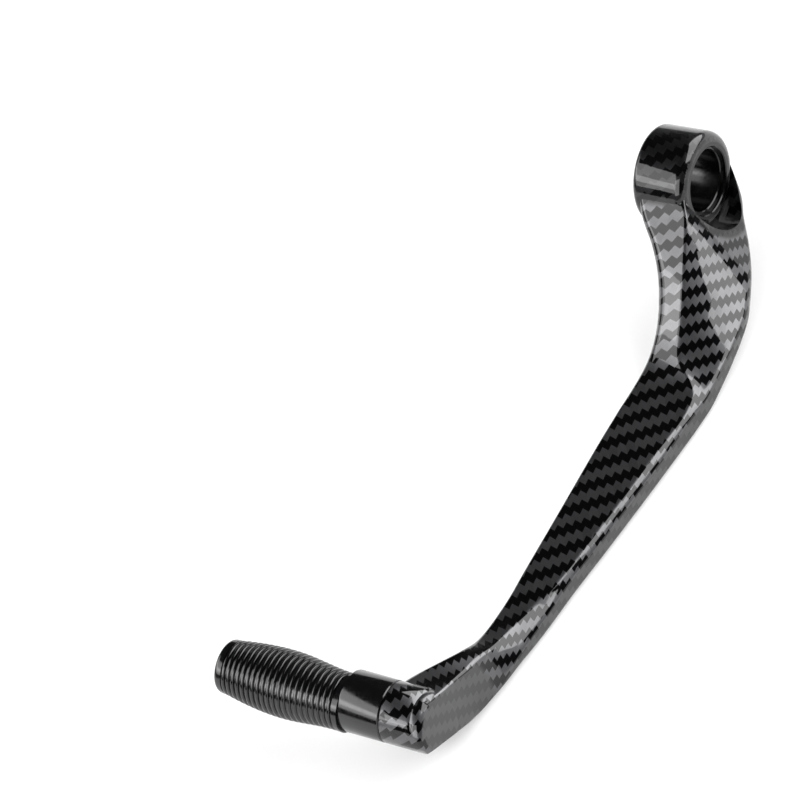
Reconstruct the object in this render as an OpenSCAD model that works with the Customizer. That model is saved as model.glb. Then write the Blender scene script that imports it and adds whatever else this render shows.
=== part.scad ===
// Brake lever guard for a handlebar end, millimetres.
// Origin at the middle of the collar bore. +X points inboard along the bar, +Y forward, +Z up.

/* [Collar] */
// Outer diameter of the collar
collar_d = 25.4; // [23:0.5:28]
// Width of the collar along the bar
collar_w = 15.2; // [14:0.2:17]
// Rounding of the collar's outboard rim
rim_out_r = 2.6; // [1:0.1:2.8]
// Rounding of the collar's inboard rim
rim_in_r = 1.6; // [0.6:0.1:2.6]
// Bore that takes the sleeve of the bar-end bolt
bore_d = 15.8; // [12:0.1:17]
// Shallow counterbore that takes the bar-end cap
seat_d = 17.6; // [17.4:0.1:18.6]
// Depth of the counterbore
seat_depth = 1.2; // [1:0.1:3]

/* [Arm] */
// Forward distance from the bar axis to the grip axis
reach = 162.2; // [150:1:180]
// Height of the blade's top face below the bar axis
blade_drop = 18.9; // [18:0.1:20]
// Thickness of the blade
blade_t = 6.2; // [4.6:0.2:7]
// Outboard place of the widest point of the shoulder
shoulder_x = 25.6; // [24:0.2:28]
// Rounding of the arm's long edges
edge_r = 1; // [0.4:0.1:1.4]

/* [Tip] */
// Height of the grip axis below the bar axis
tip_drop = 13; // [12:0.1:14]
// Inboard place of the face that the grip seats on
tip_x = 6.3; // [5:0.1:8]
// Length of the round boss along the grip axis
boss_len = 13.2; // [12:0.2:15]
// Upward slope of the grip axis, degrees
tip_rise = 5; // [0:0.1:6]
// Forward slope of the grip axis, degrees
tip_lead = 0.2; // [0:0.1:3]
// Lean of the arm's flat outward face at the tip, degrees
face_lean = 14.3; // [10:0.1:18]
// Distance from the grip axis to the lower edge of the outward face
face_low = 4.9; // [4:0.1:7]
// Rise of that edge towards the tip, degrees
edge_rise = 27.6; // [20:0.2:32]
// Slope of the relief below that edge, degrees
relief_lean = 33; // [20:1:45]

/* [Grip] */
// Length of the whole grip
grip_len = 47.2; // [44:0.2:56]
// Diameter of the plain neck and of the boss that it meets
neck_d = 15.6; // [14.6:0.2:17]
// Length of the plain neck
neck_len = 11.5; // [8:0.5:16]
// Diameter at the waist behind the neck
waist_d = 14.6; // [13:0.2:15]
// Largest diameter of the ribbed barrel
barrel_d = 17; // [15:0.2:19]
// Diameter at the free end
end_d = 13.8; // [12.6:0.2:15]
// Number of ribs
rib_count = 21; // [14:1:26]
// Depth of the grooves between the ribs
groove_depth = 0.5; // [0.2:0.1:0.8]
// Forward offset of the barrel at the waist
barrel_shift = 1; // [0:0.1:1.2]

/* [Fixing] */
// Nominal diameter of the cap screw
screw_d = 5; // [4:0.5:6]
// Length of screw engaged in the boss
screw_bite = 9; // [6:0.5:10]
// Depth of the screw head below the free end of the grip
head_depth = 10; // [8:0.5:20]
// Clearance around the shank and the head
fit_gap = 0.2; // [0.1:0.05:0.4]

/* [Hidden] */
$fn = 96;

half_w = collar_w / 2;
collar_r = collar_d / 2;
blade_top = -blade_drop;
blade_low = blade_top - blade_t;
blade_side = blade_low + 0.5;
boss_r = neck_d / 2;
boss_low = -tip_drop - boss_r;
head_d = screw_d * 1.7;
head_h = screw_d;
key_d = screw_d * 0.92;
key_depth = screw_d * 0.5;
end_bevel = 1.2;
rim_r = 1.8;
rim_bevel = 0.5;
edge_steps = 4;
ring_step = 1.8;
face_mid = [tip_x - boss_len * cos(tip_rise), reach, -tip_drop - boss_len * sin(tip_rise)];

// Outboard place of the flat outward face at height z
function face_x(z) = face_mid[0] + (z - face_mid[2]) * tan(face_lean);

// Key sections of the arm, each [y, inner top edge, crease, outer top edge, outer low edge, inner low edge].
// Every edge is a point [x, z] in the plane at that y.
shoulder_sections = [
    [-11, [half_w - 1.4, -2], [1.2 - half_w, -3.4], [-8.3, -4.8], [-8.3, -5.6], [half_w - 1.6, -4.6]],
    [-6, [half_w - 1.4, -6], [1.2 - half_w, -9.8], [-10.4, -10.4], [-10.4, -11.6], [half_w - 1.6, -10.6]],
    [0, [half_w - 1.4, -7], [1.2 - half_w, -11.4], [-13.7, -11.8],
        [-13.7, -13], [half_w - 1.6, 0.1 - collar_r]],
    [6, [half_w - 1.4, -4], [1.2 - half_w, -9.8], [-17.2, -14.4], [-17.2, -15.8], [half_w - 1.8, -15]],
    [11, [half_w - 1.7, -0.4], [0.6 - half_w, -4], [-19.6, -16.4], [-19.6, -17.6], [half_w - 2.7, -17.2]],
    [15, [4.3, 0.8], [-9.4, 2.2], [-21.2, -17.4], [-21.2, -18.8], [3.6, -18.8]],
    [20, [0.4, -0.8], [-10.3, -0.4], [-22.8, -18.4], [-22.9, -20.2], [0.3, -20.6]],
    [25, [-2.5, -4.6], [-11.2, -3.6], [-24.2, -18.7], [-24.5, -21], [-2.3, -22]],
    [30, [-4, -9.2], [-12.1, -7.2], [0.8 - shoulder_x, -18.8], [0.5 - shoulder_x, -21.8], [-3.6, -23]],
    [36, [-4.8, -13.9], [-13, -11.4], [0.6 - shoulder_x, blade_top],
        [0.3 - shoulder_x, -22.8], [-4.4, -23.8]],
    [43, [-4.8, -17.4], [-14, -15.8], [0.8 - shoulder_x, blade_top],
        [0.3 - shoulder_x, -23.8], [-4.6, blade_low]],
    [52, [-4.4, blade_top], [-13.6, blade_top + 0.6], [-24.3, blade_top],
        [-25.1, blade_side], [-4.4, blade_low]],
];
blade_sections = [
    [72, [-3.7, blade_top], [-12.4, blade_top + 0.3], [-21.2, blade_top],
        [-22.5, blade_side], [-3.8, blade_low]],
    [96, [-3.2, blade_top], [-10.4, blade_top + 0.2], [-17.4, blade_top],
        [-18.7, blade_side], [-3.3, blade_low]],
];
tip_sections = [
    [reach - 42, [-2.7, blade_top], [-9.8, 0.4 + blade_top], [-13.5, blade_top],
        [-14.8, blade_side], [-3, blade_low]],
    [reach - 34, [-2.2, 0.4 + blade_top], [-9, -17.8], [-12.3, -19.4],
        [-13.5, blade_side], [-2.4, blade_low]],
    [reach - 27, [-1.7, -16.9], [-8.2, -16.6], [-11.2, -20], [-12.3, -24.2], [-1.8, -24.4]],
    [reach - 21, [-1.2, -13.2], [-7.4, -14.7], [-10.3, -20.6], [-11.3, -24], [-1.4, -24]],
    [reach - 16, [1.3, -11.6], [-6.9, -13], [-9.5, -20.8], [-10.2, -23.8], [1, -23.6]],
    [reach - 11, [tip_x - 1.6, -10.8], [face_x(-11), -11], [face_x(-21), -21],
        [face_x(-23.6), -23.6], [tip_x - 2, -23.2]],
    [reach - 7, [tip_x, -9.6], [face_x(-9.6), -9.6], [face_x(-19), -19],
        [face_x(-22.4), -22.4], [tip_x, -21.8]],
    [reach - 1, [tip_x, -7], [face_x(-7), -7], [face_x(-14), -14],
        [face_x(boss_low + 1), boss_low + 1], [tip_x, boss_low + 1]],
];
sections = concat(shoulder_sections, blade_sections, tip_sections);
last = len(sections) - 1;
first_y = sections[0][0];
last_y = sections[last][0];
ring_count = ceil((last_y - first_y) / ring_step);

// Slope of an edge at key section i, from its two neighbours
function slope(i, e) =
    let (a = sections[max(i - 1, 0)], b = sections[min(i + 1, last)])
    (b[e] - a[e]) / (b[0] - a[0]);

// Point of edge e at place y, on a smooth curve through the key sections
function edge_at(e, y) =
    let (
        i = max([for (k = [0 : last - 1]) if (sections[k][0] <= y) k]),
        span = sections[i + 1][0] - sections[i][0],
        t = (y - sections[i][0]) / span,
        p = sections[i][e],
        q = sections[i + 1][e]
    )
    p * (1 + 2 * t) * (1 - t) ^ 2
    + slope(i, e) * span * t * (1 - t) ^ 2
    + q * t * t * (3 - 2 * t)
    - slope(i + 1, e) * span * t * t * (1 - t);

// Arc-like curve that rounds corner p between its neighbours a and b
function rounded_corner(a, p, b) =
    let (
        ra = min(edge_r, 0.42 * norm(a - p)),
        rb = min(edge_r, 0.42 * norm(b - p)),
        s = p + (a - p) * ra / norm(a - p),
        e = p + (b - p) * rb / norm(b - p)
    )
    [for (k = [0 : edge_steps]) let (t = k / edge_steps) s * (1 - t) ^ 2 + p * 2 * t * (1 - t) + e * t * t];

function ring(y) =
    let (c = [for (e = [1 : 5]) edge_at(e, y)])
    [
        for (i = [0 : 4])
            for (q = rounded_corner(c[(i + 4) % 5], c[i], c[(i + 1) % 5])) [q[0], y, q[1]]
    ];

module loft(rings) {
    n = len(rings[0]);
    m = len(rings);
    polyhedron(
        points = [for (r = rings) each r],
        faces = concat(
            [[for (i = [n - 1 : -1 : 0]) i]],
            [for (j = [0 : m - 2]) for (i = [0 : n - 1])
                let (k = (i + 1) % n) [j * n + i, (j + 1) * n + k, (j + 1) * n + i]],
            [for (j = [0 : m - 2]) for (i = [0 : n - 1])
                let (k = (i + 1) % n) [j * n + i, j * n + k, (j + 1) * n + k]],
            [[for (i = [0 : n - 1]) (m - 1) * n + i]]
        )
    );
}

// Puts a shape that stands along +Z onto the bar axis, pointing inboard
module along_bar() {
    rotate([0, 90, 0]) children();
}

// Puts a shape that stands along +Z onto the grip axis, from the seat face inboard
module at_tip() {
    translate([tip_x, reach, -tip_drop])
        rotate([0, 90 - tip_rise, tip_lead])
            children();
}

// Quarter circle of radius r about the centre [c, z], starting at an angle
function quarter(c, z, r, from) =
    [for (k = [0 : edge_steps]) let (a = from + 90 * k / edge_steps) [c + r * cos(a), z + r * sin(a)]];

module collar_body() {
    along_bar()
        rotate_extrude()
            polygon(concat(
                [[0, -half_w]],
                quarter(collar_r - rim_out_r, rim_out_r - half_w, rim_out_r, -90),
                quarter(collar_r - rim_in_r, half_w - rim_in_r, rim_in_r, 0),
                [[0, half_w]]
            ));
}

module collar_bore() {
    along_bar() {
        translate([0, 0, -collar_w])
            cylinder(d = bore_d, h = 2 * collar_w);
        translate([0, 0, -2 * collar_w])
            cylinder(d = seat_d, h = 2 * collar_w - half_w + seat_depth);
    }
}

// Boss for the grip, cut by the leaning outward face with a rounded rim
module boss_body() {
    rim_out = boss_r / cos(face_lean + tip_rise);
    intersection() {
        at_tip()
            translate([0, 0, -2 * boss_len])
                cylinder(r = boss_r, h = 2 * boss_len);
        translate(face_mid)
            rotate([0, 90 + face_lean, 0])
                rotate_extrude()
                    polygon(concat(
                        [[0, 0]],
                        [for (k = [0 : edge_steps])
                            let (a = 90 * k / edge_steps)
                            [rim_out - rim_r * (1 - sin(a)), rim_r * (1 - cos(a))]],
                        [[rim_out + 2 * boss_len, 2 * boss_len], [0, 2 * boss_len]]
                    ));
    }
}

// Takes away the corner below the outward face, from its lower edge inboard
module tip_relief() {
    translate(face_mid)
        rotate([edge_rise, 0, 0])
            translate([0, 0, -face_low])
                rotate([0, relief_lean, 0])
                    translate([-2 * boss_len, -1.2 * boss_len, -2 * boss_len])
                        cube([4 * boss_len, 2.4 * boss_len, 2 * boss_len]);
}

module arm() {
    color("#1c1c1e")
        difference() {
            union() {
                collar_body();
                loft([for (j = [0 : ring_count]) ring(first_y + (last_y - first_y) * j / ring_count)]);
                boss_body();
            }
            collar_bore();
            tip_relief();
            at_tip() {
                translate([0, 0, -screw_bite - 1])
                    cylinder(d = screw_d + fit_gap, h = screw_bite + 1);
                cylinder(r = collar_r, h = boss_r);
            }
        }
}

barrel_from = neck_len + 1.2;
barrel_to = grip_len - 2.4;
rib_pitch = (barrel_to - barrel_from) / rib_count;
barrel_tilt = atan(barrel_shift / (grip_len - barrel_from));
swell_at = 0.52;

// Radius of the barrel at height z above the seat face
function barrel_r(z) =
    let (t = (z - barrel_from) / (barrel_to - barrel_from))
    t < swell_at
        ? waist_d / 2 + (barrel_d - waist_d) / 4 * (1 - cos(180 * t / swell_at))
        : end_d / 2 + (barrel_d - end_d) / 2 * cos(90 * (t - swell_at) / (1 - swell_at)) ^ 0.9;

module barrel() {
    rotate_extrude()
        polygon(concat(
            [[0, barrel_from - 1.4], [waist_d / 2, barrel_from - 1.4]],
            [for (i = [0 : rib_count - 1]) each
                let (z = barrel_from + i * rib_pitch, r = barrel_r(z + rib_pitch / 2)) [
                    [r - groove_depth, z],
                    [r - groove_depth, z + 0.3 * rib_pitch],
                    [r, z + 0.42 * rib_pitch],
                    [r, z + 0.88 * rib_pitch],
                ]],
            [
                [end_d / 2, barrel_to + 0.2],
                [end_d / 2, grip_len - end_bevel],
                [end_d / 2 - end_bevel, grip_len],
                [0, grip_len],
            ]
        ));
}

module tip_grip() {
    color("#101012")
        at_tip()
            difference() {
                union() {
                    rotate_extrude()
                        polygon([
                            [0, 0],
                            [boss_r - rim_bevel / 2, 0],
                            [boss_r, rim_bevel / 2],
                            [boss_r, neck_len - rim_bevel],
                            [boss_r - rim_bevel, neck_len],
                            [0, neck_len],
                        ]);
                    translate([0, barrel_shift, 0])
                        translate([0, 0, barrel_from])
                            rotate([barrel_tilt, 0, 0])
                                translate([0, 0, -barrel_from])
                                    barrel();
                }
                translate([0, 0, -1])
                    cylinder(d = screw_d + 2 * fit_gap, h = grip_len);
                translate([0, 0, grip_len - head_depth - head_h])
                    cylinder(d = head_d + 4 * fit_gap, h = grip_len);
            }
}

module tip_screw() {
    head_z = grip_len - head_depth - head_h;
    color("#8d8f92")
        at_tip()
            difference() {
                union() {
                    translate([0, 0, -screw_bite])
                        cylinder(d = screw_d, h = screw_bite + head_z);
                    translate([0, 0, head_z])
                        cylinder(d = head_d, h = head_h);
                }
                translate([0, 0, head_z + head_h - key_depth])
                    cylinder(d = key_d, h = head_h, $fn = 6);
            }
}

arm();
tip_grip();
tip_screw();
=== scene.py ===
"""Brake lever guard: a carbon-look arm, its ribbed grip and the grip's cap screw, in a small studio."""

import math

import bpy
from mathutils import Matrix, Vector


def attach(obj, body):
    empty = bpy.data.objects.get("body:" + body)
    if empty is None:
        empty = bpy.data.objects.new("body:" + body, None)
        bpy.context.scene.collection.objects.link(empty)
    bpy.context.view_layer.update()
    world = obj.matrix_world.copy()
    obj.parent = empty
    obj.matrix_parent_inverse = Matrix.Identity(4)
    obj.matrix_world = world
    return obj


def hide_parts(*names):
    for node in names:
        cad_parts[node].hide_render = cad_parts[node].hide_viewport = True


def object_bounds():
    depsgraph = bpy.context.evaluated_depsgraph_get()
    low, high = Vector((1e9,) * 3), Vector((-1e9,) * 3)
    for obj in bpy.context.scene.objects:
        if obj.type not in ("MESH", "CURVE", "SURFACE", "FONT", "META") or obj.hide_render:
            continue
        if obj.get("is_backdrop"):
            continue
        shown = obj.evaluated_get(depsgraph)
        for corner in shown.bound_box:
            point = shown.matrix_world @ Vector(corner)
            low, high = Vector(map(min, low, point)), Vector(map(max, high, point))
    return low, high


bl_info = {
    "name": "Brake Lever Guard",
    "version": (1, 0, 0),
    "blender": (4, 5, 0),
    "location": "3D View > Sidebar > Lever Guard",
    "description": "Builds a carbon-look brake lever guard with its ribbed grip and a soft-lit studio",
    "category": "Add Mesh",
}

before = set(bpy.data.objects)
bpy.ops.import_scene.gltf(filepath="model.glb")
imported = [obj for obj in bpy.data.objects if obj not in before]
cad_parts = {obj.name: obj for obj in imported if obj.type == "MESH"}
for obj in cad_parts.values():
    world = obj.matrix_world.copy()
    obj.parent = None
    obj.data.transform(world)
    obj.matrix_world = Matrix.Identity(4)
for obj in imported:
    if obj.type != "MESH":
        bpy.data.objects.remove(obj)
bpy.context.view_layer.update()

# Shapes are worked out in millimetres and scaled to metres when a mesh is made
MM = 0.001


def length(name, millimetres, description):
    """A length property that shows in scene units."""
    return bpy.props.FloatProperty(
        name=name, description=description, default=millimetres * MM, unit="LENGTH", precision=5)


def angle(name, degrees, description):
    """An angle property."""
    return bpy.props.FloatProperty(
        name=name, description=description, default=math.radians(degrees), subtype="ANGLE")


def colour(name, hex_code, description):
    """A colour property, given as the sRGB hex value that the eye sees."""
    return bpy.props.FloatVectorProperty(
        name=name, description=description, default=linear(hex_code)[:3],
        size=3, min=0, max=1, subtype="COLOR")


def linear(hex_code):
    """sRGB hex value as linear red, green, blue and alpha."""
    channels = [int(hex_code[i:i + 2], 16) / 255 for i in (1, 3, 5)]
    return [c / 12.92 if c <= 0.04045 else ((c + 0.055) / 1.055) ** 2.4 for c in channels] + [1.0]


class GuardArmSettings(bpy.types.PropertyGroup):
    """Sizes of the arm and of the film that covers it."""

    collar_diameter: length("Collar diameter", 25.4, "Outer diameter of the collar")
    collar_width: length("Collar width", 15.2, "Width of the collar along the bar")
    rim_outboard: length("Outboard rim", 2.6, "Rounding of the collar's outboard rim")
    rim_inboard: length("Inboard rim", 1.6, "Rounding of the collar's inboard rim")
    pocket_diameter: length("Pocket diameter", 22.8, "Round pocket in the shoulder around the counterbore")
    bore_diameter: length("Bore diameter", 15.8, "Bore through the collar, along the bar axis")
    seat_diameter: length("Seat diameter", 17.6, "Counterbore in the outboard face")
    seat_depth: length("Seat depth", 1.2, "Depth of the counterbore")
    reach: length("Reach", 162.2, "Forward distance from the bar axis to the grip axis")
    blade_drop: length("Blade drop", 18.9, "Height of the blade's top face below the bar axis")
    blade_thickness: length("Blade thickness", 6.2, "Thickness of the blade")
    shoulder: length("Shoulder", 25.6, "Outboard place of the widest point of the shoulder")
    boss_length: length("Boss length", 13.2, "Length of the round boss along the grip axis")
    boss_rim: length("Boss rim", 2.6, "Rounding of the rim of the outward face")
    face_lean: angle("Face lean", 14.3, "Lean of the flat outward face at the tip")
    face_low: length("Face edge", 4.9, "Distance from the grip axis to the face's lower edge")
    edge_rise: angle("Edge rise", 27.6, "Rise of that edge towards the tip")
    relief_lean: angle("Relief lean", 33, "Slope of the relief below that edge")
    ring_spacing: length("Ring spacing", 0.6, "Distance between the rings of the arm's mesh")
    twill_lay: angle("Twill lay", 32.45, "Turn of the twill's bands from straight across the blade")
    band_width: length("Twill band", 5.93, "Distance from one light band of the twill to the next")
    tooth_width: length("Twill tooth", 2.3, "Distance from one tooth of a band's edge to the next")
    thread_light: colour("Light threads", "#5a5a5c", "Printed threads that face the light")
    thread_dark: colour("Dark threads", "#050506", "Printed threads that run the other way")


class GuardGripSettings(bpy.types.PropertyGroup):
    """Sizes of the grip and its ribs."""

    tip_drop: length("Tip drop", 13, "Height of the grip axis below the bar axis")
    tip_inboard: length("Seat place", 6.3, "Inboard place of the face that the grip seats on")
    tip_rise: angle("Rise", 5, "Upward slope of the grip axis")
    tip_lead: angle("Lead", 0.2, "Forward slope of the grip axis")
    grip_length: length("Grip length", 47.2, "Length of the whole grip")
    neck_diameter: length("Neck diameter", 15.6, "Diameter of the plain neck and of the boss")
    neck_length: length("Neck length", 11.5, "Length of the plain neck")
    waist_diameter: length("Waist diameter", 14.6, "Diameter at the waist behind the neck")
    barrel_diameter: length("Barrel diameter", 17, "Largest diameter of the ribbed barrel")
    end_diameter: length("End diameter", 13.8, "Diameter at the free end")
    barrel_shift: length("Barrel shift", 1, "Forward offset of the barrel at the waist")
    waist_length: length("Waist length", 1.2, "Plain length between the neck and the first rib")
    end_band: length("End band", 2.4, "Plain length between the last rib and the free end")
    rib_count: bpy.props.IntProperty(name="Ribs", description="Number of ribs", default=21, min=3)
    groove_depth: length("Groove depth", 0.5, "Depth of the grooves between the ribs")
    screw_diameter: length("Screw diameter", 5, "Nominal diameter of the cap screw")
    head_depth: length("Head depth", 10, "Depth of the screw head below the free end")
    fit_gap: length("Fit gap", 0.2, "Clearance around the screw")
    anodised: colour("Anodised black", "#060607", "Dyed anodic layer of the grip")
    zinc: colour("Zinc plate", "#b4b6b8", "Plated steel of the cap screw")


class GuardStageSettings(bpy.types.PropertyGroup):
    """The camera, the floor and the dim room around the lamps."""

    camera_place: bpy.props.FloatVectorProperty(
        name="Camera place", description="Where the camera stands", size=3,
        default=(-0.7766, 0.8074, 1.1254), unit="LENGTH", subtype="TRANSLATION")
    camera_target: bpy.props.FloatVectorProperty(
        name="Camera target", description="The point that the camera looks at", size=3,
        default=(0.03726, 0.08612, 0.00605), unit="LENGTH", subtype="TRANSLATION")
    camera_roll: angle("Camera roll", -27.642, "Turn of the camera about its line of sight")
    camera_lens: bpy.props.FloatProperty(
        name="Lens", description="Focal length on a 36 mm sensor", default=283.16, unit="CAMERA")
    floor_gap: length("Floor gap", 0.1, "Gap between the floor and the lowest point of the part")
    floor_size: bpy.props.FloatProperty(
        name="Floor size", description="Side of the square floor", default=8, unit="LENGTH")
    floor_colour: colour("Floor", "#f4f4f4", "Matt white paper")
    floor_white: bpy.props.FloatProperty(
        name="Floor white", description="Share of plain white in the floor as it is seen", default=0.4,
        min=0, max=1)
    room_level: bpy.props.FloatProperty(
        name="Room level", description="Brightness of the dim room around the lamps", default=0.05, min=0)


def settings():
    """The three groups of settings: arm, grip and stage."""
    scene = bpy.context.scene
    return scene.guard_arm, scene.guard_grip, scene.guard_stage


# Meshes

# Sides of the turned shapes
COLLAR_SIDES = 180
BOSS_SIDES = 160
GRIP_SIDES = 128
HOLE_SIDES = 96
THREAD_SIDES = 64


def new_object(name, points, faces):
    """Object at the origin whose mesh has these points, given in millimetres."""
    mesh = bpy.data.meshes.new(name)
    mesh.from_pydata([Vector(p) * MM for p in points], [], faces)
    mesh.validate()
    made = bpy.data.objects.new(name, mesh)
    bpy.context.scene.collection.objects.link(made)
    return made


def revolved(name, profile, segments):
    """Closed solid turned about Z from a profile of (radius, height) that starts and ends on the axis."""
    points = []
    rings = []
    for radius, height in profile:
        count = segments if radius else 1
        rings.append([len(points) + i for i in range(count)])
        for i in range(count):
            turn = 2 * math.pi * i / segments
            points.append((radius * math.cos(turn), radius * math.sin(turn), height))
    faces = []
    for low, high in zip(rings, rings[1:]):
        for i in range(segments):
            k = (i + 1) % segments
            if len(low) == 1:
                faces.append((low[0], high[k], high[i]))
            elif len(high) == 1:
                faces.append((low[i], low[k], high[0]))
            else:
                faces.append((low[i], low[k], high[k], high[i]))
    return new_object(name, points, faces)


def hoop(name, profile, segments):
    """Closed ring turned about Z from a closed profile of (radius, height)."""
    count = len(profile)
    points = []
    for i in range(segments):
        turn = 2 * math.pi * i / segments
        points += [(r * math.cos(turn), r * math.sin(turn), z) for r, z in profile]
    faces = []
    for i in range(segments):
        k = (i + 1) % segments
        for j in range(count):
            m = (j + 1) % count
            faces.append((i * count + j, k * count + j, k * count + m, i * count + m))
    return new_object(name, points, faces)


def placed(thing, matrix):
    """Moves a thing's mesh, whose place is given in millimetres."""
    metres = matrix.copy()
    metres.translation = metres.translation * MM
    thing.data.transform(metres)
    return thing


def combine(target, tool, operation):
    """Applies one exact boolean to target and removes the tool."""
    modifier = target.modifiers.new(operation, "BOOLEAN")
    modifier.operation = operation
    modifier.solver = "EXACT"
    modifier.object = tool
    modifier.use_hole_tolerant = True
    evaluated = target.evaluated_get(bpy.context.evaluated_depsgraph_get())
    mesh = bpy.data.meshes.new_from_object(evaluated)
    target.modifiers.clear()
    old = target.data
    target.data = mesh
    bpy.data.meshes.remove(old)
    bpy.data.objects.remove(tool)
    if not target.data.polygons:
        raise RuntimeError(f"{operation} left {target.name} empty")
    return target


def smooth(thing, degrees=35):
    """Smooth shading that keeps every edge that is sharper than this."""
    mesh = thing.data
    mesh.polygons.foreach_set("use_smooth", [True] * len(mesh.polygons))
    mesh.set_sharp_from_angle(angle=math.radians(degrees))
    mesh.update()


def arc(centre, height, radius, start, steps=10):
    """Quarter circle of (radius, height) points about (centre, height), starting at an angle."""
    angles = [math.radians(start + 90 * k / steps) for k in range(steps + 1)]
    return [(centre + radius * math.cos(a), height + radius * math.sin(a)) for a in angles]


def tip_matrix(grip, reach):
    """Place of a shape that stands along Z, from the grip's seat face inboard."""
    return (Matrix.Translation((grip.tip_inboard / MM, reach, -grip.tip_drop / MM))
            @ Matrix.Rotation(grip.tip_lead, 4, "Z")
            @ Matrix.Rotation(math.pi / 2 - grip.tip_rise, 4, "Y"))


# Arm


class ArmShape:
    """The arm's key sections and the smooth edges that run through them."""

    def __init__(self, arm, grip):
        half = arm.collar_width / MM / 2
        ring = arm.collar_diameter / MM / 2
        # Heights of the blade's top face, of its underside and of its lower outboard edge
        top = -arm.blade_drop / MM
        low = top - arm.blade_thickness / MM
        side = low + 0.5
        # Places of the shoulder's widest point, of the grip's axis and of the grip's seat
        wide = -arm.shoulder / MM
        reach = arm.reach / MM
        tip = grip.tip_inboard / MM
        boss_low = -(grip.tip_drop + grip.neck_diameter / 2) / MM
        rise = grip.tip_rise
        boss = arm.boss_length / MM
        self.face_mid = Vector((
            tip - boss * math.cos(rise), reach, -grip.tip_drop / MM - boss * math.sin(rise)))

        def face(z, inset=0.05):
            """Place across the bar at which the sides end, just inside the leaning outward face."""
            return self.face_mid.x + inset + (z - self.face_mid.z) * math.tan(arm.face_lean)

        # Each section is its place along Y, then inner top edge, crease, outer top, outer low, inner low
        self.sections = [
            (-12.2, (half - 1.4, -1.2), (1.2 - half, -1), (-5.6, -2.4), (-5.6, -3), (half - 1.6, -2.6)),
            (-6, (half - 1.4, 2), (2.6 - half, 2), (-10.4, -10.4), (-10.4, -11.6), (half - 1.6, -10.6)),
            (0, (half - 1.4, 5), (2.6 - half, 5), (-13.7, -11.8), (-13.7, -13), (half - 1.6, 0.1 - ring)),
            (6, (half - 1.4, 6), (2.2 - half, 6), (-17.2, -14.4), (-17.2, -15.8), (half - 1.8, -15)),
            (11, (half - 1.7, 4.8), (-7.3, 4.9), (-19.7, -16.1), (-19.7, -17.6), (half - 2.7, -17.2)),
            (15, (4.3, 2.1), (-9.1, 2.4), (-21.5, -16.9), (-21.3, -18.8), (3.6, -18.8)),
            (20, (0.4, -1.1), (-10.3, -0.7), (-23.1, -17.9), (-22.9, -20.2), (0.3, -20.6)),
            (25, (-2.5, -4.8), (-11.2, -3.9), (-24.4, -18.4), (-24.5, -21), (-2.3, -22)),
            (30, (-4, -9.2), (-12.1, -7.4), (wide + 0.8, -18.8), (wide + 0.5, -21.8), (-3.6, -23)),
            (36, (-4.8, -13.9), (-13, -11.6), (wide + 0.6, top - 0.3), (wide + 0.3, -22.8), (-4.4, -23.8)),
            (43, (-4.8, -17.4), (-14.4, -16), (wide + 0.9, top - 1), (wide + 0.3, -23.8), (-4.6, low)),
            (52, (-4.4, top), (-22, top), (-24.2, top - 1.8), (-25.1, side), (-4.4, low)),
            (72, (-3.7, top), (-20.3, top), (-21.9, top - 1.7), (-22.5, side), (-3.8, low)),
            (96, (-3.2, top), (-16.5, top), (-18.1, top - 1.7), (-18.7, side), (-3.3, low)),
            (reach - 50, (-2.8, top), (-13.6, top), (-15.2, top - 1.7), (-15.9, side), (-3.1, low)),
            (reach - 42, (-2.7, top), (-11, 0.2 + top), (-14, top - 2), (-14.8, side), (-3, low)),
            (reach - 34, (-2.2, 0.4 + top), (-9, -17.9), (-12.7, -21.4), (-13.5, side), (-2.4, low)),
            (reach - 27, (-1.7, -16.9), (-8, -16.5), (-11.9, -22.2), (-12.3, -24.2), (-1.8, -24.4)),
            (reach - 21, (-1.2, -13.2), (-7, -14.4), (-10.9, -22.8), (-11.3, -24), (-1.4, -24)),
            (reach - 16, (1.3, -11.6), (-6.6, -12.8), (-9.9, -22.9), (-10.2, -23.8), (1, -23.6)),
            (reach - 11, (tip - 1.6, -10.8), (face(-11), -11), (face(-22), -22),
             (face(-23.6), -23.6), (tip - 2, -23.2)),
            (reach - 7, (tip, -9.6), (face(-9.6), -9.6), (face(-19), -19),
             (face(-22.4), -22.4), (tip, -21.8)),
            (reach - 1, (tip, -7), (face(-7), -7), (face(-14), -14),
             (face(boss_low + 1), boss_low + 1), (tip, boss_low + 1)),
        ]
        # Rounding of each edge as (place along Y, distance from the corner)
        self.roundings = [
            [(0, 1.4), (12, 1.8), (20, 2.8), (44, 2.8), (60, 1.1), (reach - 36, 1.1), (reach - 20, 2)],
            [(10, 0.6), (40, 0.7), (52, 0.5), (reach - 40, 0.5), (reach - 14, 0.8)],
            [(15, 0.9), (40, 1.1), (52, 1.3), (reach - 30, 1), (reach - 14, 1.6)],
            [(15, 0.9), (40, 0.8), (reach - 14, 1.2)],
            [(10, 1.4), (reach - 14, 1.5)],
        ]

    def slope(self, i, edge):
        """Slope of an edge at a key section, from its two neighbours."""
        a = self.sections[max(i - 1, 0)]
        b = self.sections[min(i + 1, len(self.sections) - 1)]
        return (Vector(b[edge]) - Vector(a[edge])) / (b[0] - a[0])

    def edge_at(self, edge, y):
        """Point of an edge at place y, on a smooth curve through the key sections."""
        i = max(k for k in range(len(self.sections) - 1) if self.sections[k][0] <= y)
        span = self.sections[i + 1][0] - self.sections[i][0]
        t = (y - self.sections[i][0]) / span
        p = Vector(self.sections[i][edge])
        q = Vector(self.sections[i + 1][edge])
        return (p * (1 + 2 * t) * (1 - t) ** 2 + self.slope(i, edge) * span * t * (1 - t) ** 2
                + q * t * t * (3 - 2 * t) - self.slope(i + 1, edge) * span * t * t * (1 - t))

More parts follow.
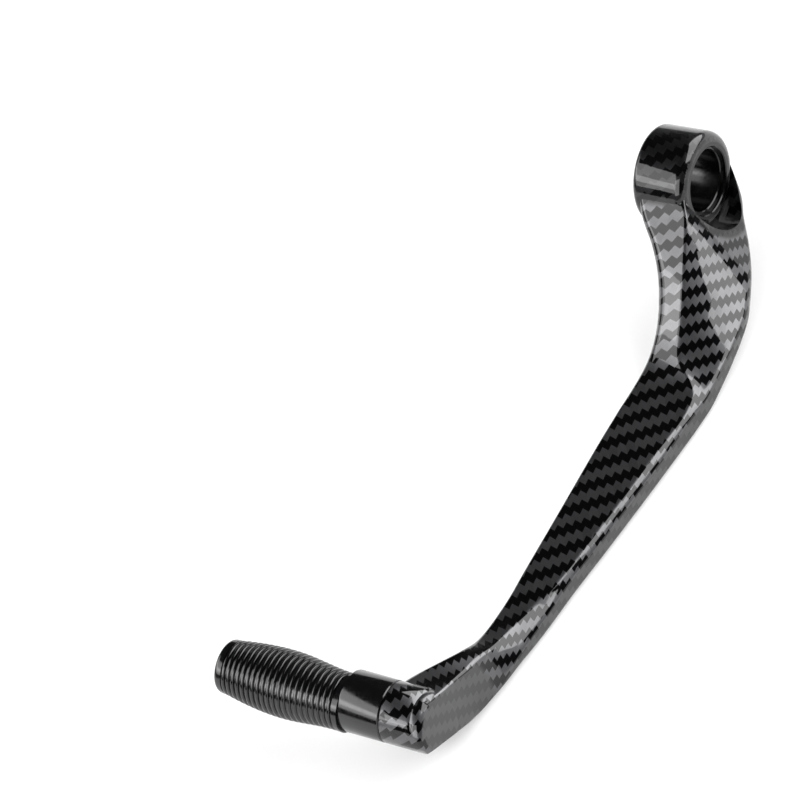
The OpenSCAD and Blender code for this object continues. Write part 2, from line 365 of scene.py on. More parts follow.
    def rounding_at(self, edge, y):
        """Distance from the corner at which an edge's rounding starts."""
        table = self.roundings[edge - 1]
        for (y0, r0), (y1, r1) in zip(table, table[1:]):
            if y < y1:
                t = min(max((y - y0) / (y1 - y0), 0), 1)
                return r0 + (r1 - r0) * t
        return table[-1][1]

    def ring(self, y, corner_steps=7, flat_steps=6):
        """Points around the arm at place y: five rounded corners and the flats between them."""
        # A rounding takes less than half of a side, and each flat starts and ends with a narrow strip
        most_of_side = 0.48
        strip, most_of_flat = 0.25, 0.3
        corners = [self.edge_at(e, y) for e in range(1, 6)]
        arcs = []
        for i in range(5):
            before, corner, after = corners[i - 1], corners[i], corners[(i + 1) % 5]
            size = self.rounding_at(i + 1, y)
            to_before, to_after = before - corner, after - corner
            start = corner + to_before.normalized() * min(size, most_of_side * to_before.length)
            end = corner + to_after.normalized() * min(size, most_of_side * to_after.length)
            steps = [k / corner_steps for k in range(corner_steps + 1)]
            arcs.append([start * (1 - t) ** 2 + corner * 2 * t * (1 - t) + end * t * t for t in steps])
        points = []
        for i in range(5):
            points += arcs[i]
            start, end = arcs[i][-1], arcs[(i + 1) % 5][0]
            share = min(strip / (end - start).length, most_of_flat)
            middle = [share + (1 - 2 * share) * k / flat_steps for k in range(flat_steps + 1)]
            points += [start.lerp(end, t) for t in middle]
        return [(p.x, y, p.y) for p in points]


def arm_loft(shape, spacing):
    """The long body of the arm, as one closed mesh through fine rings."""
    first = shape.sections[0][0]
    last = shape.sections[-1][0]
    count = math.ceil((last - first) / spacing)
    rings = [shape.ring(first + (last - first) * j / count) for j in range(count + 1)]
    n = len(rings[0])
    faces = [tuple(range(n - 1, -1, -1)), tuple(count * n + i for i in range(n))]
    for j in range(count):
        for i in range(n):
            k = (i + 1) % n
            faces.append((j * n + i, j * n + k, (j + 1) * n + k, (j + 1) * n + i))
    loft = new_object("arm_dressed", [p for ring in rings for p in ring], faces)
    # The rings run the other way round, so the faces are turned to point outwards
    loft.data.flip_normals()
    return loft


def collar_solid(arm):
    """Turned body of the collar, lying along the bar."""
    half = arm.collar_width / MM / 2
    radius = arm.collar_diameter / MM / 2
    outboard, inboard = arm.rim_outboard / MM, arm.rim_inboard / MM
    profile = [(0, -half)] + arc(radius - outboard, outboard - half, outboard, -90)
    profile += arc(radius - inboard, half - inboard, inboard, 0) + [(0, half)]
    return placed(revolved("collar", profile, COLLAR_SIDES), Matrix.Rotation(math.pi / 2, 4, "Y"))


def collar_opening(arm):
    """Space of the bore, of its counterbore and of the pocket that keeps the shoulder clear of them."""
    half = arm.collar_width / MM / 2
    bore, seat = arm.bore_diameter / MM / 2, arm.seat_diameter / MM / 2
    pocket = arm.pocket_diameter / MM / 2
    floor = arm.seat_depth / MM - half
    mouth = 0.25
    outside = -2 * arm.shoulder / MM
    # The pocket's floor follows the rim's rounding and lies just below it
    rim = arm.rim_outboard / MM
    sink = 0.02
    steps = 8
    centre = arm.collar_diameter / MM / 2 - rim
    first = math.acos((pocket - centre) / rim)
    turns = [first + (math.pi / 2 - first) * k / steps for k in range(steps + 1)]
    cut = rim - sink
    profile = [(0, outside), (pocket, outside)]
    profile += [(centre + cut * math.cos(a), rim - half - cut * math.sin(a)) for a in turns]
    profile += [
        (seat + mouth, sink - half), (seat, mouth - half),
        (seat, floor), (bore + mouth, floor), (bore, floor + mouth),
        (bore, half - mouth), (bore + mouth, half), (bore + mouth, 2 * half), (0, 2 * half),
    ]
    return placed(revolved("collar_opening", profile, COLLAR_SIDES), Matrix.Rotation(math.pi / 2, 4, "Y"))


def boss_solid(arm, grip, shape):
    """Round boss under the grip, cut by the leaning outward face with a rounded rim."""
    radius = grip.neck_diameter / MM / 2
    chamfer = 0.4
    boss = arm.boss_length / MM
    profile = [(0, -2 * boss), (radius, -2 * boss), (radius, -chamfer), (radius - chamfer, 0), (0, 0)]
    body = placed(revolved("boss", profile, BOSS_SIDES), tip_matrix(grip, arm.reach / MM))
    rim = arm.boss_rim / MM
    rim_out = radius / math.cos(arm.face_lean + grip.tip_rise)
    steps = 12
    turns = [math.pi / 2 * k / steps for k in range(steps + 1)]
    profile = [(0, 0)] + [(rim_out - rim * (1 - math.sin(a)), rim * (1 - math.cos(a))) for a in turns]
    profile += [(rim_out + 2 * boss, 2 * boss), (0, 2 * boss)]
    face = placed(
        revolved("boss_face", profile, BOSS_SIDES),
        Matrix.Translation(shape.face_mid) @ Matrix.Rotation(math.pi / 2 + arm.face_lean, 4, "Y"))
    return combine(body, face, "INTERSECT")


def tip_relief(arm, shape):
    """Block that takes away the corner below the outward face."""
    boss = arm.boss_length / MM
    block = new_object(
        "tip_relief",
        [(x, y, z) for z in (-2 * boss, 0) for y in (-1.2 * boss, 1.2 * boss) for x in (-2 * boss, 2 * boss)],
        [(0, 2, 3, 1), (4, 5, 7, 6), (0, 1, 5, 4), (2, 6, 7, 3), (0, 4, 6, 2), (1, 3, 7, 5)])
    return placed(
        block,
        Matrix.Translation(shape.face_mid) @ Matrix.Rotation(arm.edge_rise, 4, "X")
        @ Matrix.Translation((0, 0, -arm.face_low / MM)) @ Matrix.Rotation(arm.relief_lean, 4, "Y"))


# Grip

# Share of the barrel's length at which it is thickest, and the shape of its fall towards the end
SWELL_AT = 0.52
FALL_POWER = 0.9


def grip_body(grip):
    """Turned body of the grip without its ribs, standing on its seat face."""
    neck = grip.neck_diameter / MM / 2
    neck_top = grip.neck_length / MM
    bevel = 0.5
    body = revolved("tip_grip_dressed", [
        (0, 0), (neck - bevel / 2, 0), (neck, bevel / 2), (neck, neck_top - bevel),
        (neck - bevel * 0.3, neck_top - bevel * 0.3), (neck - bevel, neck_top), (0, neck_top)], GRIP_SIDES)
    # The barrel is sunk a little into the neck, and steps down at both ends of the ribs
    sunk, waist_step, end_step = 0.2, 0.05, 0.2
    steps = 48
    start, stop = barrel_span(grip)
    foot = neck_top - sunk
    groove = grip.groove_depth / MM
    waist = grip.waist_diameter / MM / 2
    profile = [(0, foot), (waist, foot), (waist, start - waist_step)]
    for k in range(steps + 1):
        t = k / steps
        profile.append((barrel_radius(grip, t) - groove, start + (stop - start) * t))
    end = grip.end_diameter / MM / 2
    height = grip.grip_length / MM
    end_bevel = 1.2
    profile += [(end, stop + end_step), (end, height - end_bevel)]
    profile += arc(end - end_bevel, height - end_bevel, end_bevel, 0, 6)[1:] + [(0, height)]
    barrel = placed(revolved("barrel", profile, GRIP_SIDES), barrel_matrix(grip))
    combine(body, barrel, "UNION")
    # A socket head is about 1.7 times as wide as its screw
    head_ratio = 1.7
    shank = grip.screw_diameter / MM / 2 + grip.fit_gap / MM
    head = head_ratio * grip.screw_diameter / MM / 2 + 2 * grip.fit_gap / MM
    seat = height - (grip.head_depth + grip.screw_diameter) / MM
    mouth = 0.4
    recess = revolved("recess", [
        (0, -1), (shank, -1), (shank, seat), (head, seat), (head, height - mouth),
        (head + mouth, height), (head + mouth, height + 1), (0, height + 1)], HOLE_SIDES)
    return combine(body, recess, "DIFFERENCE")


def barrel_span(grip):
    """Heights above the seat face between which the ribs lie."""
    return (grip.neck_length + grip.waist_length) / MM, (grip.grip_length - grip.end_band) / MM


def barrel_radius(grip, t):
    """Outer radius of the barrel at a share t of its length."""
    waist, full = grip.waist_diameter / MM / 2, grip.barrel_diameter / MM / 2
    end = grip.end_diameter / MM / 2
    if t < SWELL_AT:
        return waist + (full - waist) / 2 * (1 - math.cos(math.pi * t / SWELL_AT))
    past = (t - SWELL_AT) / (1 - SWELL_AT)
    return end + (full - end) * max(math.cos(math.pi / 2 * past), 0) ** FALL_POWER


def barrel_matrix(grip):
    """Forward shift of the barrel at the waist, which runs out at the free end."""
    start = barrel_span(grip)[0]
    shift = grip.barrel_shift / MM
    tilt = math.atan(shift / (grip.grip_length / MM - start))
    return (Matrix.Translation((0, shift, start)) @ Matrix.Rotation(tilt, 4, "X")
            @ Matrix.Translation((0, 0, -start)))


def rib_template(grip):
    """One rib as a ring of radius one, which the node tree scales to the barrel at its place."""
    start, stop = barrel_span(grip)
    pitch = (stop - start) / grip.rib_count
    mean = (grip.waist_diameter + grip.barrel_diameter) / MM / 4
    depth = (grip.groove_depth / MM) / mean
    # The ring's root lies inside the barrel, and its crest is rounded off by a share of the depth
    root = 1 - depth * 1.3
    soft = depth * 0.22
    # Radius and share of the pitch, from the groove over the rounded crest to the next groove
    outline = [
        (root, 0.24), (1 - depth, 0.3), (1 - soft, 0.42), (1 - soft * 0.35, 0.48), (1 - soft * 0.05, 0.56),
        (1, 0.65),
        (1 - soft * 0.05, 0.74), (1 - soft * 0.35, 0.82), (1 - soft, 0.88), (1 - depth, 1), (root, 1.06),
    ]
    ring = hoop("rib", [(radius, share * pitch) for radius, share in outline], GRIP_SIDES)
    # The radius is a plain number here, so only the height stays in millimetres
    for vertex in ring.data.vertices:
        vertex.co.x /= MM
        vertex.co.y /= MM
    smooth(ring, 40)
    return ring


def add(tree, kind, options=None, inputs=None):
    """Adds a node, sets its options and sets or links its inputs, by name or number."""
    made = tree.nodes.new(kind)
    for key, value in (options or {}).items():
        setattr(made, key, value)
    for key, value in (inputs or {}).items():
        socket = made.inputs[key]
        if isinstance(value, bpy.types.NodeSocket):
            tree.links.new(value, socket)
        else:
            socket.default_value = value
    return made


def rib_tree(template, material):
    """Node tree that sets ribs along the barrel, each scaled to the barrel's radius there."""
    tree = bpy.data.node_groups.new("Ribs along a barrel", "GeometryNodeTree")
    face = tree.interface
    face.new_socket("Body", in_out="INPUT", socket_type="NodeSocketGeometry")
    face.new_socket("Ribs", in_out="INPUT", socket_type="NodeSocketInt")
    for name in ("Start", "Pitch", "Waist radius", "Full radius", "End radius"):
        face.new_socket(name, in_out="INPUT", socket_type="NodeSocketFloat")
    face.new_socket("Barrel shift", in_out="INPUT", socket_type="NodeSocketVector")
    face.new_socket("Barrel turn", in_out="INPUT", socket_type="NodeSocketVector")
    face.new_socket("Grip", in_out="OUTPUT", socket_type="NodeSocketGeometry")
    given = add(tree, "NodeGroupInput").outputs
    index = add(tree, "GeometryNodeInputIndex").outputs[0]
    middle = add(tree, "ShaderNodeMath", {"operation": "ADD"}, {0: index, 1: 0.5}).outputs[0]
    share = add(tree, "ShaderNodeMath", {"operation": "DIVIDE"}, {0: middle, 1: given["Ribs"]}).outputs[0]
    # The barrel swells from the waist to its thickest place and falls from there to the free end
    swell_turn = add(tree, "ShaderNodeMapRange", inputs={
        "Value": share, "From Min": 0.0, "From Max": SWELL_AT, "To Min": 0.0, "To Max": math.pi}).outputs[0]
    swell = add(tree, "ShaderNodeMath", {"operation": "COSINE"}, {0: swell_turn}).outputs[0]
    rise = add(tree, "ShaderNodeMapRange", inputs={
        "Value": swell, "From Min": 1.0, "From Max": -1.0,
        "To Min": given["Waist radius"], "To Max": given["Full radius"]}).outputs[0]
    fall_turn = add(tree, "ShaderNodeMapRange", inputs={
        "Value": share, "From Min": SWELL_AT, "From Max": 1.0,
        "To Min": 0.0, "To Max": math.pi / 2}).outputs[0]
    slope = add(tree, "ShaderNodeMath", {"operation": "COSINE"}, {0: fall_turn}).outputs[0]
    taper = add(tree, "ShaderNodeMath", {"operation": "POWER"}, {0: slope, 1: FALL_POWER}).outputs[0]
    fall = add(tree, "ShaderNodeMapRange", inputs={
        "Value": taper, "From Min": 0.0, "From Max": 1.0,
        "To Min": given["End radius"], "To Max": given["Full radius"]}).outputs[0]
    radius = add(tree, "ShaderNodeMath", {"operation": "MINIMUM"}, {0: rise, 1: fall}).outputs[0]
    first = add(tree, "ShaderNodeCombineXYZ", inputs={"Z": given["Start"]}).outputs[0]
    step = add(tree, "ShaderNodeCombineXYZ", inputs={"Z": given["Pitch"]}).outputs[0]
    line = add(tree, "GeometryNodeMeshLine", {"mode": "OFFSET"},
               {"Count": given["Ribs"], "Start Location": first, "Offset": step})
    rib = add(tree, "GeometryNodeObjectInfo", {"transform_space": "ORIGINAL"}, {"Object": template})
    size = add(tree, "ShaderNodeCombineXYZ", inputs={"X": radius, "Y": radius, "Z": 1.0}).outputs[0]
    ribs = add(tree, "GeometryNodeInstanceOnPoints", inputs={
        "Points": line.outputs[0], "Instance": rib.outputs["Geometry"], "Scale": size})
    turned = add(tree, "GeometryNodeTransform", inputs={
        "Geometry": ribs.outputs[0], "Translation": given["Barrel shift"], "Rotation": given["Barrel turn"]})
    joined = add(tree, "GeometryNodeJoinGeometry")
    tree.links.new(turned.outputs[0], joined.inputs[0])
    tree.links.new(given["Body"], joined.inputs[0])
    solid = add(tree, "GeometryNodeRealizeInstances", inputs={"Geometry": joined.outputs[0]})
    dressed = add(tree, "GeometryNodeSetMaterial", inputs={
        "Geometry": solid.outputs[0], "Material": material})
    add(tree, "NodeGroupOutput", inputs={"Grip": dressed.outputs[0]})
    return tree


def add_ribs(body, grip, material):
    """Runs the rib tree on the grip's body and keeps the result as its mesh."""
    template = rib_template(grip)
    tree = rib_tree(template, material)
    modifier = body.modifiers.new("Ribs", "NODES")
    modifier.node_group = tree
    start, stop = barrel_span(grip)
    matrix = barrel_matrix(grip)
    values = {
        "Ribs": grip.rib_count,
        "Start": start * MM,
        "Pitch": (stop - start) / grip.rib_count * MM,
        "Waist radius": grip.waist_diameter / 2,
        "Full radius": grip.barrel_diameter / 2,
        "End radius": grip.end_diameter / 2,
        "Barrel shift": matrix.translation * MM,
        "Barrel turn": Vector(matrix.to_euler()),
    }
    for item in tree.interface.items_tree:
        if item.name in values:
            modifier[item.identifier] = values[item.name]
    evaluated = body.evaluated_get(bpy.context.evaluated_depsgraph_get())
    mesh = bpy.data.meshes.new_from_object(evaluated)
    body.modifiers.clear()
    body.data = mesh
    bpy.data.objects.remove(template)
    return body


# Materials

# Inputs and output of a colour Mix node by number, because its names stand for other types too
SHARE, FIRST, SECOND = 0, 6, 7
MIXED = 2


def new_material(name):
    """Node material with one Principled shader: the material, its tree and the shader."""
    material = bpy.data.materials.new(name)
    material.use_nodes = True
    tree = material.node_tree
    tree.nodes.clear()
    shader = add(tree, "ShaderNodeBsdfPrincipled")
    add(tree, "ShaderNodeOutputMaterial", inputs={"Surface": shader.outputs[0]})
    return material, tree, shader


def film_material(arm):
    """Water-transfer carbon-look film under clear lacquer.

    The print is a metallic ink that scatters light softly along its light threads, and the lacquer
    over it is glassy, so soft lamps show as sharp patches in which the twill still reads.
    """
    material, tree, shader = new_material("Carbon-look film under clear lacquer")
    dark = list(arm.thread_dark) + [1.0]
    place = add(tree, "ShaderNodeTexCoord").outputs["Object"]
    # Bands run across the blade and fold over its edges with one common slope
    lay = arm.twill_lay
    band_fold, tooth_fold = -0.935, -0.985
    over_bands = Vector((-math.sin(lay), math.cos(lay), band_fold)) / arm.band_width
    along_bands = Vector((-math.cos(lay), -math.sin(lay), tooth_fold)) / arm.tooth_width
    band = add(tree, "ShaderNodeVectorMath", {"operation": "DOT_PRODUCT"}, {
        0: place, 1: over_bands}).outputs["Value"]
    tooth = add(tree, "ShaderNodeVectorMath", {"operation": "DOT_PRODUCT"}, {
        0: place, 1: along_bands}).outputs["Value"]
    # Each tooth of a band's edge rises over two fifths of its width and falls over the rest
    peak = 0.4
    tooth_height = 0.27
    share = add(tree, "ShaderNodeMath", {"operation": "FRACT"}, {0: tooth}).outputs[0]
    rise = add(tree, "ShaderNodeMapRange", inputs={
        "Value": share, "From Min": 0.0, "From Max": peak, "To Min": 0.0, "To Max": tooth_height}).outputs[0]
    fall = add(tree, "ShaderNodeMapRange", inputs={
        "Value": share, "From Min": peak, "From Max": 1.0, "To Min": tooth_height, "To Max": 0.0}).outputs[0]
    zigzag = add(tree, "ShaderNodeMath", {"operation": "MINIMUM"}, {0: rise, 1: fall}).outputs[0]
    shifted = add(tree, "ShaderNodeMath", {"operation": "ADD"}, {0: band, 1: zigzag}).outputs[0]
    # One where the light threads lie, half of each band, with edges a twentieth of a band wide
    half_light = 0.25
    edge = 0.025
    centred = add(tree, "ShaderNodeMath", {"operation": "SUBTRACT"}, {0: shifted, 1: half_light}).outputs[0]
    away = add(tree, "ShaderNodeMath", {"operation": "PINGPONG"}, {0: centred, 1: 0.5}).outputs[0]
    light = add(tree, "ShaderNodeMapRange", {"interpolation_type": "SMOOTHSTEP"}, {
        "Value": away, "From Min": half_light - edge, "From Max": half_light + edge,
        "To Min": 1.0, "To Max": 0.0}).outputs[0]
    # Each bundle of threads has its own brightness
    bundle = add(tree, "ShaderNodeCombineXYZ", inputs={"X": shifted, "Y": tooth}).outputs[0]
    cell = add(tree, "ShaderNodeVectorMath", {"operation": "FLOOR"}, {0: bundle}).outputs[0]
    chance = add(tree, "ShaderNodeTexWhiteNoise", {"noise_dimensions": "2D"}, {
        "Vector": cell}).outputs["Value"]
    # Fibres of about a tenth of a millimetre, drawn long in the direction of the light threads
    weave = add(tree, "ShaderNodeCombineXYZ", inputs={"X": tooth, "Y": band}).outputs[0]
    drawn = add(tree, "ShaderNodeVectorMath", {"operation": "MULTIPLY"}, {
        0: weave, 1: (6.0, 1.2, 0.0)}).outputs[0]
    fibre = add(tree, "ShaderNodeTexNoise", {"noise_dimensions": "2D"}, {
        "Vector": drawn, "Scale": 4.0, "Detail": 2.0}).outputs["Fac"]
    spread = 0.35
    base = add(tree, "ShaderNodeMath", {"operation": "MULTIPLY_ADD"}, {
        0: chance, 1: spread, 2: 1.0 - spread}).outputs[0]
    level = add(tree, "ShaderNodeMath", {"operation": "MULTIPLY_ADD"}, {
        0: fibre, 1: spread, 2: base}).outputs[0]
    bright = add(tree, "ShaderNodeMix", {"data_type": "RGBA"}, {
        SHARE: level, FIRST: dark, SECOND: list(arm.thread_light) + [1.0]}).outputs[MIXED]
    ink = add(tree, "ShaderNodeMix", {"data_type": "RGBA"}, {
        SHARE: light, FIRST: dark, SECOND: bright}).outputs[MIXED]
    # It is drawn thin around the collar, where the light threads stay dim
    across = add(tree, "ShaderNodeVectorMath", {"operation": "MULTIPLY"}, {
        0: place, 1: (0.0, 1.0, 1.0)}).outputs[0]
    radius = add(tree, "ShaderNodeVectorMath", {"operation": "LENGTH"}, {0: across}).outputs["Value"]
    thin = add(tree, "ShaderNodeMapRange", inputs={
        "Value": radius, "From Min": 0.505 * arm.collar_diameter, "From Max": 0.54 * arm.collar_diameter,
        "To Min": 0.84, "To Max": 0.0}).outputs[0]
    around = add(tree, "ShaderNodeMix", {"data_type": "RGBA"}, {
        SHARE: thin, FIRST: ink, SECOND: dark}).outputs[MIXED]
    # The film was laid on from above, so the print is stretched to a plain grey on the steep outboard sides
    normal = add(tree, "ShaderNodeNewGeometry").outputs["Normal"]
    facing = add(tree, "ShaderNodeSeparateXYZ", inputs={0: normal}).outputs["X"]
    forward = add(tree, "ShaderNodeSeparateXYZ", inputs={0: place}).outputs["Y"]
    steep = add(tree, "ShaderNodeMapRange", {"interpolation_type": "SMOOTHSTEP"}, {
        "Value": facing, "From Min": -0.915, "From Max": -0.935, "To Min": 0.0, "To Max": 1.0}).outputs[0]
    beyond = add(tree, "ShaderNodeMapRange", inputs={
        "Value": forward, "From Min": arm.shoulder, "From Max": 1.6 * arm.shoulder,
        "To Min": 0.0, "To Max": 0.75}).outputs[0]
    plain = add(tree, "ShaderNodeMath", {"operation": "MULTIPLY"}, {0: steep, 1: beyond}).outputs[0]
    worn = add(tree, "ShaderNodeMix", {"data_type": "RGBA"}, {
        SHARE: plain, FIRST: around, SECOND: linear("#4c4c4c")}).outputs[MIXED]
    tree.links.new(worn, shader.inputs["Base Color"])
    shader.inputs["Metallic"].default_value = 1.0
    shader.inputs["Roughness"].default_value = 0.44
    # The lacquer has levelled over the print and keeps only a faint wave of about three millimetres
    wave = add(tree, "ShaderNodeTexNoise", inputs={
        "Vector": place, "Scale": 330.0, "Detail": 1.0}).outputs["Fac"]
    height = add(tree, "ShaderNodeMath", {"operation": "MULTIPLY_ADD"}, {
        0: light, 1: 0.12, 2: wave}).outputs[0]
    bump = add(tree, "ShaderNodeBump", inputs={"Strength": 0.25, "Distance": 0.06 * MM, "Height": height})
    tree.links.new(bump.outputs[0], shader.inputs["Coat Normal"])
    shader.inputs["Coat Weight"].default_value = 1.0
    shader.inputs["Coat Roughness"].default_value = 0.03
    shader.inputs["Coat IOR"].default_value = 1.5
    return material


def bore_material():
    """Black moulded nylon without film in the bore and its seat: smooth, with a faint mould grain."""
    material, tree, shader = new_material("Black moulded nylon")
    place = add(tree, "ShaderNodeTexCoord").outputs["Object"]
    # The grain is drawn two thirds of a millimetre wide, coarser than the real one, so that it shows
    grain = add(tree, "ShaderNodeTexNoise", inputs={
        "Vector": place, "Scale": 1500.0, "Detail": 2.0}).outputs["Fac"]
    rough = add(tree, "ShaderNodeMapRange", inputs={
        "Value": grain, "From Min": 0.3, "From Max": 0.7, "To Min": 0.14, "To Max": 0.22}).outputs[0]
    tint = add(tree, "ShaderNodeMix", {"data_type": "RGBA"}, {
        SHARE: grain, FIRST: linear("#010101"), SECOND: linear("#040404")}).outputs[MIXED]
    tree.links.new(tint, shader.inputs["Base Color"])
    tree.links.new(rough, shader.inputs["Roughness"])
    shader.inputs["IOR"].default_value = 1.45
    return material


def anodised_material(grip):
    """Turned aluminium, black anodised: a dark glossy layer that mirrors the lamps as narrow lines."""
    material, tree, shader = new_material("Black anodised turned aluminium")
    place = add(tree, "ShaderNodeTexCoord").outputs["Object"]
    # The gloss and the dye vary faintly over about a millimetre
    mist = add(tree, "ShaderNodeTexNoise", inputs={
        "Vector": place, "Scale": 900.0, "Detail": 3.0}).outputs["Fac"]
    rough = add(tree, "ShaderNodeMapRange", inputs={
        "Value": mist, "From Min": 0.3, "From Max": 0.7, "To Min": 0.1, "To Max": 0.2}).outputs[0]
    tint = add(tree, "ShaderNodeMix", {"data_type": "RGBA"}, {
        SHARE: mist, FIRST: linear("#040405"), SECOND: list(grip.anodised) + [1.0]}).outputs[MIXED]
    tree.links.new(tint, shader.inputs["Base Color"])
    tree.links.new(rough, shader.inputs["Roughness"])
    shader.inputs["IOR"].default_value = 1.6
    return material


def zinc_material(grip):
    """Zinc-plated steel: a bright grey metal with a slightly clouded plate."""
    material, tree, shader = new_material("Zinc-plated steel")
    place = add(tree, "ShaderNodeTexCoord").outputs["Object"]
    # Clouds of about a millimetre and a half
    cloud = add(tree, "ShaderNodeTexNoise", inputs={
        "Vector": place, "Scale": 700.0, "Detail": 4.0}).outputs["Fac"]
    rough = add(tree, "ShaderNodeMapRange", inputs={
        "Value": cloud, "From Min": 0.3, "From Max": 0.7, "To Min": 0.24, "To Max": 0.38}).outputs[0]
    tint = add(tree, "ShaderNodeMix", {"data_type": "RGBA"}, {
        SHARE: cloud, FIRST: linear("#8d9094"), SECOND: list(grip.zinc) + [1.0]}).outputs[MIXED]
    tree.links.new(tint, shader.inputs["Base Color"])
    tree.links.new(rough, shader.inputs["Roughness"])
    shader.inputs["Metallic"].default_value = 1.0
    return material


def paper_material(stage):
    """Matt white background paper with a faint tooth."""
    material, tree, shader = new_material("Matt white paper")
    place = add(tree, "ShaderNodeTexCoord").outputs["Object"]
    # The tooth is drawn 2.5 mm wide, coarser than the real one, so that it can show
    tooth = add(tree, "ShaderNodeTexNoise", inputs={"Vector": place, "Scale": 400.0}).outputs["Fac"]
    tint = add(tree, "ShaderNodeMix", {"data_type": "RGBA"}, {
        SHARE: tooth, FIRST: list(stage.floor_colour) + [1.0], SECOND: linear("#f7f7f7")}).outputs[MIXED]
    tree.links.new(tint, shader.inputs["Base Color"])
    shader.inputs["Roughness"].default_value = 0.9
    # The paper is seen brighter than it lights the part, and keeps a share of its shadow
    path = add(tree, "ShaderNodeLightPath").outputs
    seen = path["Is Camera Ray"]
    for name in ("Is Glossy Ray", "Is Transmission Ray"):
        seen = add(tree, "ShaderNodeMath", {"operation": "MAXIMUM"}, {0: seen, 1: path[name]}).outputs[0]
    share = add(tree, "ShaderNodeMath", {"operation": "MULTIPLY"}, {0: seen, 1: stage.floor_white}).outputs[0]
    white = add(tree, "ShaderNodeEmission", inputs={"Strength": 1.0})
    mixed = add(tree, "ShaderNodeMixShader", inputs={0: share, 1: shader.outputs[0], 2: white.outputs[0]})
    tree.links.new(mixed.outputs[0], tree.nodes["Material Output"].inputs["Surface"])
    return material


# Stage


def lamp(name, azimuth, elevation, width, height, level, distance=1.6):
    """Soft box seen from the part in a direction, its size given as angles and its level as radiance."""
    a, e = math.radians(azimuth), math.radians(elevation)
    towards = Vector((math.cos(a) * math.cos(e), math.sin(a) * math.cos(e), math.sin(e)))
    data = bpy.data.lights.new(name, "AREA")
    data.shape = "RECTANGLE"
    data.size = 2 * distance * math.tan(math.radians(width / 2))
    data.size_y = 2 * distance * math.tan(math.radians(height / 2))
    data.energy = level * data.size * data.size_y * math.pi
    made = bpy.data.objects.new(name, data)
    low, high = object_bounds()
    made.location = (low + high) / 2 + towards * distance
    made.rotation_mode = "QUATERNION"
    made.rotation_quaternion = towards.to_track_quat("Z", "Y")
    bpy.context.scene.collection.objects.link(made)
    return made


def build_camera(stage):
    """Camera with the photograph's place, target, roll and lens."""
    data = bpy.data.cameras.new("Camera")
    data.lens = stage.camera_lens
    data.sensor_width = 36
    data.clip_start = 0.05
    data.clip_end = 30
    camera = bpy.data.objects.new("Camera", data)
    towards = Vector(stage.camera_target) - Vector(stage.camera_place)
    turn = towards.to_track_quat("-Z", "Y").to_matrix().to_4x4()
    roll = Matrix.Rotation(stage.camera_roll, 4, "Z")
    camera.matrix_world = Matrix.Translation(stage.camera_place) @ turn @ roll
    bpy.context.scene.collection.objects.link(camera)
    bpy.context.scene.camera = camera


def build_floor(stage):
    """Large sheet of paper just under the part."""
    side = stage.floor_size / 2 / MM
    floor_z = (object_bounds()[0].z - stage.floor_gap) / MM
    floor = new_object("floor", [
        (-side, -side, floor_z), (side, -side, floor_z), (side, side, floor_z), (-side, side, floor_z)],
        [(0, 1, 2, 3)])
    floor.data.materials.append(paper_material(stage))
    floor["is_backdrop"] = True


def build_room(stage):
    """Dim grey room around the lamps."""
    world = bpy.data.worlds.new("Room")
    world.use_nodes = True
    world.node_tree.nodes.clear()
    light = add(world.node_tree, "ShaderNodeBackground", inputs={"Strength": stage.room_level})
    add(world.node_tree, "ShaderNodeOutputWorld", inputs={"Surface": light.outputs[0]})
    bpy.context.scene.world = world


# Operators


class GUARD_OT_arm(bpy.types.Operator):
    """Build the arm with its collar, boss and carbon-look film"""

    bl_idname = "guard.arm"
    bl_label = "Build Arm"

    def execute(self, context):
        arm, grip, _ = settings()
        shape = ArmShape(arm, grip)
        tip = tip_matrix(grip, arm.reach / MM)
        wide, high = arm.collar_diameter / MM / 2, grip.neck_diameter / MM / 2
        seat = revolved("seat_space", [(0, 0), (wide, 0), (wide, high), (0, high)], HOLE_SIDES)
        thread = (grip.screw_diameter + grip.fit_gap) / MM / 2
        deep = 10
        hole = revolved("tapped_hole", [(0, -deep), (thread, -deep), (thread, 1), (0, 1)], THREAD_SIDES)
        body = arm_loft(shape, arm.ring_spacing / MM)
        # The seat's space is cleared before the boss stands in it, and the collar is opened last
        combine(body, placed(seat, tip), "DIFFERENCE")
        combine(body, boss_solid(arm, grip, shape), "UNION")
        combine(body, placed(hole, tip), "DIFFERENCE")
        combine(body, tip_relief(arm, shape), "DIFFERENCE")
        combine(body, collar_solid(arm), "UNION")
        combine(body, collar_opening(arm), "DIFFERENCE")
        smooth(body)
        body.data.materials.clear()
        body.data.materials.append(film_material(arm))
        body.data.materials.append(bore_material())
        # The nylon is bare inside the outboard rim's rounding and in the bore, short of the inboard end face
        margin = 0.05 * MM
        bare_radius = arm.collar_diameter / 2 - arm.rim_outboard + margin
        bare_end = arm.collar_width / 2 - 3 * margin
        for face in body.data.polygons:
            middle = face.center
            face.material_index = int(Vector(middle.yz).length < bare_radius and middle.x < bare_end)
        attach(body, "root")
        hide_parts("arm")
        return {"FINISHED"}


class GUARD_OT_grip(bpy.types.Operator):
    """Build the turned grip and set its ribs along the barrel"""

    bl_idname = "guard.grip"
    bl_label = "Build Grip"

    def execute(self, context):
        arm, grip, _ = settings()
        body = grip_body(grip)
        smooth(body)
        material = anodised_material(grip)
        add_ribs(body, grip, material)
        placed(body, tip_matrix(grip, arm.reach / MM))
        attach(body, "root")
        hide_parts("tip_grip")
        return {"FINISHED"}


class GUARD_OT_screw(bpy.types.Operator):
    """Finish the cap screw inside the grip"""

    bl_idname = "guard.screw"
    bl_label = "Finish Screw"

    def execute(self, context):
        _, grip, _ = settings()
        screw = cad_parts["tip_screw"]
        screw.data.materials.clear()
        screw.data.materials.append(zinc_material(grip))
        return {"FINISHED"}


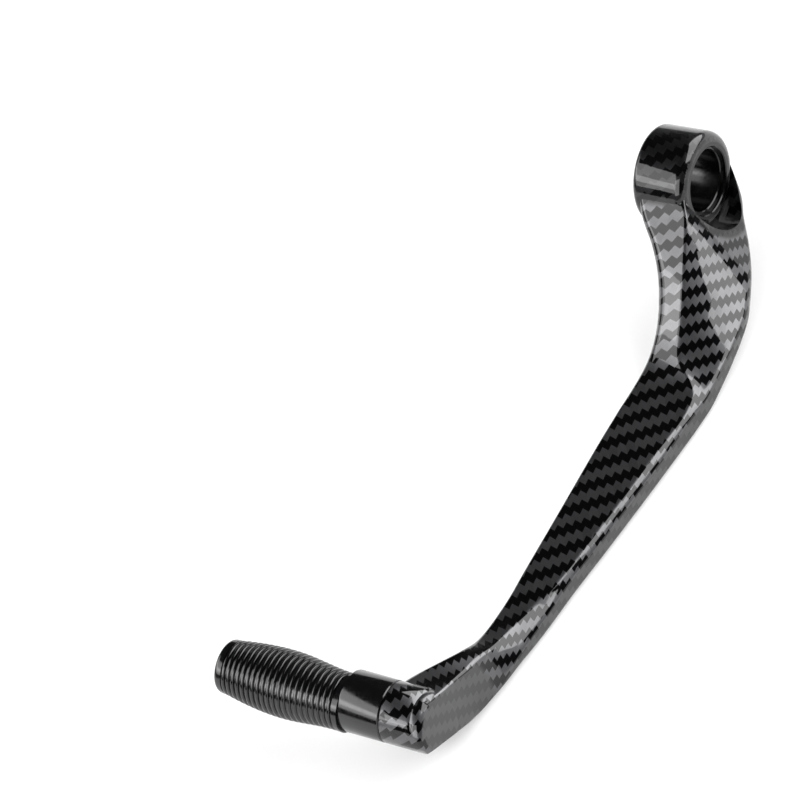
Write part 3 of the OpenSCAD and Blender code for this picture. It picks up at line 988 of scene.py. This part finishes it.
class GUARD_OT_stage(bpy.types.Operator):
    """Set up the camera, the floor, the room and the soft boxes"""

    bl_idname = "guard.stage"
    bl_label = "Build Stage"

    def execute(self, context):
        _, _, stage = settings()
        build_camera(stage)
        build_floor(stage)
        build_room(stage)
        # Azimuth, elevation, width and height in degrees, then the level
        lamp("outboard_box", -125, 33, 72, 48, 4.8)
        lamp("front_box", 36, 34, 66, 38, 3.0)
        lamp("front_core", 42, 29, 58, 11, 3.2, distance=1.4)
        lamp("inboard_box", 98, 30, 46, 36, 3.4)
        overhead = lamp("overhead_fill", -45, 88, 80, 80, 0.5)
        overhead.visible_glossy = False
        context.scene.view_settings.view_transform = "Standard"
        return {"FINISHED"}


class GUARD_PT_panel(bpy.types.Panel):
    """Sizes, colours and build steps of the lever guard"""

    bl_idname = "GUARD_PT_panel"
    bl_label = "Lever Guard"
    bl_space_type = "VIEW_3D"
    bl_region_type = "UI"
    bl_category = "Lever Guard"

    def draw(self, context):
        for group in settings():
            box = self.layout.box()
            for name in group.__annotations__:
                box.prop(group, name)
        for step in STEPS:
            self.layout.operator(step.bl_idname)


SETTING_GROUPS = {
    "guard_arm": GuardArmSettings,
    "guard_grip": GuardGripSettings,
    "guard_stage": GuardStageSettings,
}
STEPS = (GUARD_OT_arm, GUARD_OT_grip, GUARD_OT_screw, GUARD_OT_stage)


def register():
    for name, group in SETTING_GROUPS.items():
        bpy.utils.register_class(group)
        setattr(bpy.types.Scene, name, bpy.props.PointerProperty(type=group))
    for step in STEPS:
        bpy.utils.register_class(step)
    bpy.utils.register_class(GUARD_PT_panel)


def unregister():
    bpy.utils.unregister_class(GUARD_PT_panel)
    for step in reversed(STEPS):
        bpy.utils.unregister_class(step)
    for name, group in SETTING_GROUPS.items():
        delattr(bpy.types.Scene, name)
        bpy.utils.unregister_class(group)


def main():
    register()
    bpy.ops.guard.arm()
    bpy.ops.guard.grip()
    bpy.ops.guard.screw()
    bpy.ops.guard.stage()


if __name__ == "__main__":
    main()
